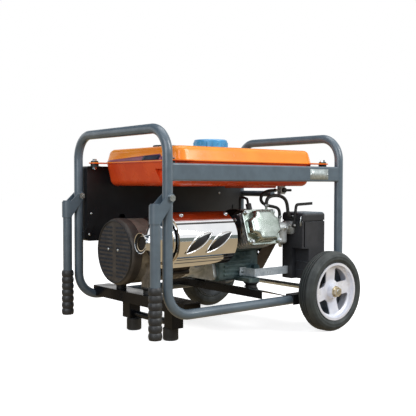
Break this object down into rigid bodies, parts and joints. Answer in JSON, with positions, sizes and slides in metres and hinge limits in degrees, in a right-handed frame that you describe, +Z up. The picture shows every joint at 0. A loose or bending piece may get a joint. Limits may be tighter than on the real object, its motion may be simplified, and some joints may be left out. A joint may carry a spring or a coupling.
{
  "type": "portable generator",
  "caption": "Open-frame portable petrol generator on wheels: tube frame, inclined engine with alternator, fuel tank on top, folding handles and a side control panel.",
  "frame": {"origin": "on the floor under the middle of the bounding box", "axes": "+Z up, +X towards the wheel end, -X the handle and alternator end, -Y the muffler side, +Y the control panel side"},
  "size_m": [0.766, 0.671, 0.621],
  "materials": {
    "frame_paint": "satin slate grey powder coat",
    "black_steel": "satin black paint",
    "tank_paint": "gloss orange enamel",
    "cap_plastic": "blue moulded",
    "chrome": "polished",
    "exhaust_steel": "heat dulled",
    "cast_aluminium": "as cast",
    "cover_steel": "bright pressed steel",
    "zinc": "zinc plated",
    "black_plastic": "textured black",
    "blower_paint": "dark satin",
    "panel_paint": "satin black",
    "black_rubber": "matt",
    "tyre_rubber": "dull dark grey",
    "rim_paint": "pale silver",
    "steel": "machined",
    "laminations": "varnished laminated steel",
    "fan_plastic": "moulded",
    "flywheel_iron": "machined"
  },
  "bodies": {
    "frame": {"frame_left_hoop": "frame_paint", "frame_right_hoop": "frame_paint", "upper_rail": "frame_paint", "panel_braces": "frame_paint", "foot_stand": "frame_paint", "alternator_cross_member": "black_steel", "engine_cross_member": "black_steel", "axle_brackets": "black_steel", "tank_tabs": "black_steel", "control_box": "black_steel", "fuel_tank_lower": "tank_paint", "fuel_tank_upper": "tank_paint", "muffler_guard": "chrome", "muffler": "exhaust_steel", "engine_block": "cast_aluminium", "cylinder_head": "cast_aluminium", "alternator_front_bell": "cast_aluminium", "alternator_rear_bell": "cast_aluminium", "carburetor": "cast_aluminium", "fuel_valve": "cast_aluminium", "valve_cover": "cover_steel", "axle": "zinc", "axle_nuts": "zinc", "tank_bolts": "zinc", "handle_pivots": "zinc", "air_cleaner_bracket": "zinc", "alternator_end_cover": "black_plastic", "air_cleaner_base": "black_plastic", "air_cleaner_cover": "black_plastic", "fuel_gauge": "black_plastic", "recoil_cover": "black_plastic", "power_sockets": "black_plastic", "voltmeter": "black_plastic", "spark_plug": "black_plastic", "blower_housing": "blower_paint", "control_panel": "panel_paint", "foot_pads": "black_rubber", "rubber_mounts": "black_rubber", "tank_grommets": "black_rubber", "engine_hoses": "black_rubber", "spark_lead": "black_rubber", "stator": "laminations"},
    "crank": {"crankshaft": "steel", "rotor_core": "laminations", "cooling_fan": "fan_plastic", "flywheel": "flywheel_iron"},
    "handle_near": {"near_handle": "frame_paint", "near_grip": "black_rubber"},
    "handle_far": {"far_handle": "frame_paint", "far_grip": "black_rubber"},
    "wheel_near": {"near_tyre": "tyre_rubber", "near_rim": "rim_paint"},
    "wheel_far": {"far_tyre": "tyre_rubber", "far_rim": "rim_paint"},
    "cap": {"fuel_cap": "cap_plastic"},
    "choke": {"choke_lever": "black_plastic"},
    "fuel_tap": {"fuel_valve_lever": "black_plastic"},
    "switch": {"engine_switch": "black_plastic"},
    "breaker": {"breaker_button": "black_plastic"},
    "recoil": {"recoil_grip": "black_plastic"}
  },
  "joints": [
    {"name": "near_handle_fold", "type": "hinge", "parent": "frame", "child": "handle_near", "pos_m": [-0.324, -0.24, 0.419], "axis": [0, 1, 0], "range_deg": [0, 90]},
    {"name": "far_handle_fold", "type": "hinge", "parent": "frame", "child": "handle_far", "pos_m": [-0.324, 0.24, 0.419], "axis": [0, 1, 0], "range_deg": [0, 90]},
    {"name": "near_wheel_spin", "type": "hinge", "parent": "frame", "child": "wheel_near", "pos_m": [0.259, -0.3, 0.124], "axis": [0, 1, 0], "continuous": true},
    {"name": "far_wheel_spin", "type": "hinge", "parent": "frame", "child": "wheel_far", "pos_m": [0.259, 0.3, 0.124], "axis": [0, 1, 0], "continuous": true},
    {"name": "crank_spin", "type": "hinge", "parent": "frame", "child": "crank", "pos_m": [0.021, 0.045, 0.254], "axis": [1, 0, 0], "continuous": true},
    {"name": "cap_turn", "type": "hinge", "parent": "frame", "child": "cap", "pos_m": [0.021, 0, 0.568], "axis": [0, 0, 1], "range_deg": [0, 90]},
    {"name": "choke_swing", "type": "hinge", "parent": "frame", "child": "choke", "pos_m": [0.2168, -0.18221, 0.3248], "axis": [0, -1, 0], "range_deg": [0, 25]},
    {"name": "fuel_tap_turn", "type": "hinge", "parent": "frame", "child": "fuel_tap", "pos_m": [0.203, -0.14, 0.4368], "axis": [0, 1, 0], "range_deg": [0, 90]},
    {"name": "switch_turn", "type": "hinge", "parent": "frame", "child": "switch", "pos_m": [0.241, 0.25, 0.39375], "axis": [0, 1, 0], "range_deg": [0, 60]},
    {"name": "breaker_push", "type": "slide", "parent": "frame", "child": "breaker", "axis": [0, -1, 0], "range_m": [0, 0.004], "stiffness_N_per_m": 150},
    {"name": "recoil_pull", "type": "slide", "parent": "frame", "child": "recoil", "axis": [0, 1, 0], "range_m": [0, 0.14], "stiffness_N_per_m": 40}
  ]
}
